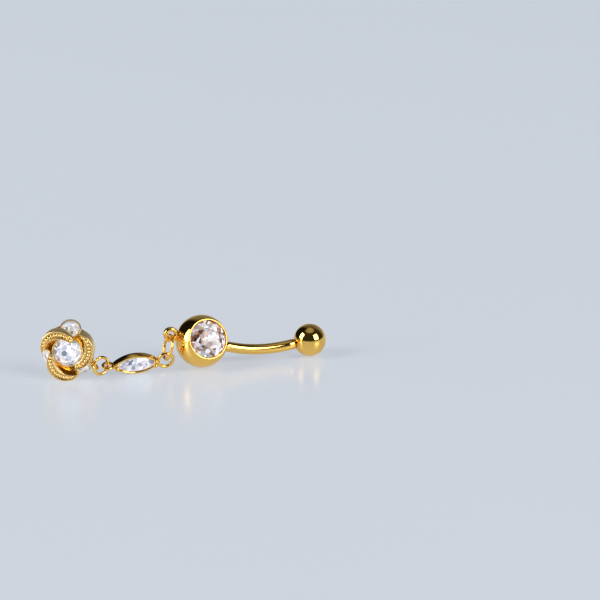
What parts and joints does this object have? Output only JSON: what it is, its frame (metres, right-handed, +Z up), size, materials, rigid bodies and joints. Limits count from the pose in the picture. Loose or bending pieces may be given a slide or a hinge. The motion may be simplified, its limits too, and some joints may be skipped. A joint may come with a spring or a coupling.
{
  "type": "navel ring with a flower drop",
  "caption": "Gold-coloured navel ring laid flat: curved bar, crystal ball, screwed ball, marquise link and swirl flower drop.",
  "frame": {"origin": "on the centreline of the curved bar, halfway along its curve, where the piercing sits; the surface that the piece lies on is below it", "axes": "+X runs along the piece from the flower towards the screwed ball, -Y is the side that the stones face, +Z is up as the piece lies"},
  "size_m": [0.0441, 0.0078, 0.0086],
  "materials": {
    "gold": "polished gold plate",
    "crystal": "cut and polished",
    "clear_stone": "cut and polished"
  },
  "bodies": {
    "ring": {"barbell": "gold", "upper_jump_ring": "gold", "marquise_setting": "gold", "lower_jump_ring": "gold", "flower_setting": "gold", "ball_crystal": "crystal", "marquise_stone": "clear_stone", "flower_centre_stone": "clear_stone", "flower_side_stone_1": "clear_stone", "flower_side_stone_2": "clear_stone", "flower_side_stone_3": "clear_stone"},
    "screwed_ball": {"top_ball": "gold"}
  },
  "joints": [
    {"name": "ball_unscrew", "type": "slide", "parent": "ring", "child": "screwed_ball", "axis": [0.9891, 0, 0.147], "range_m": [0, 0.0035]}
  ]
}
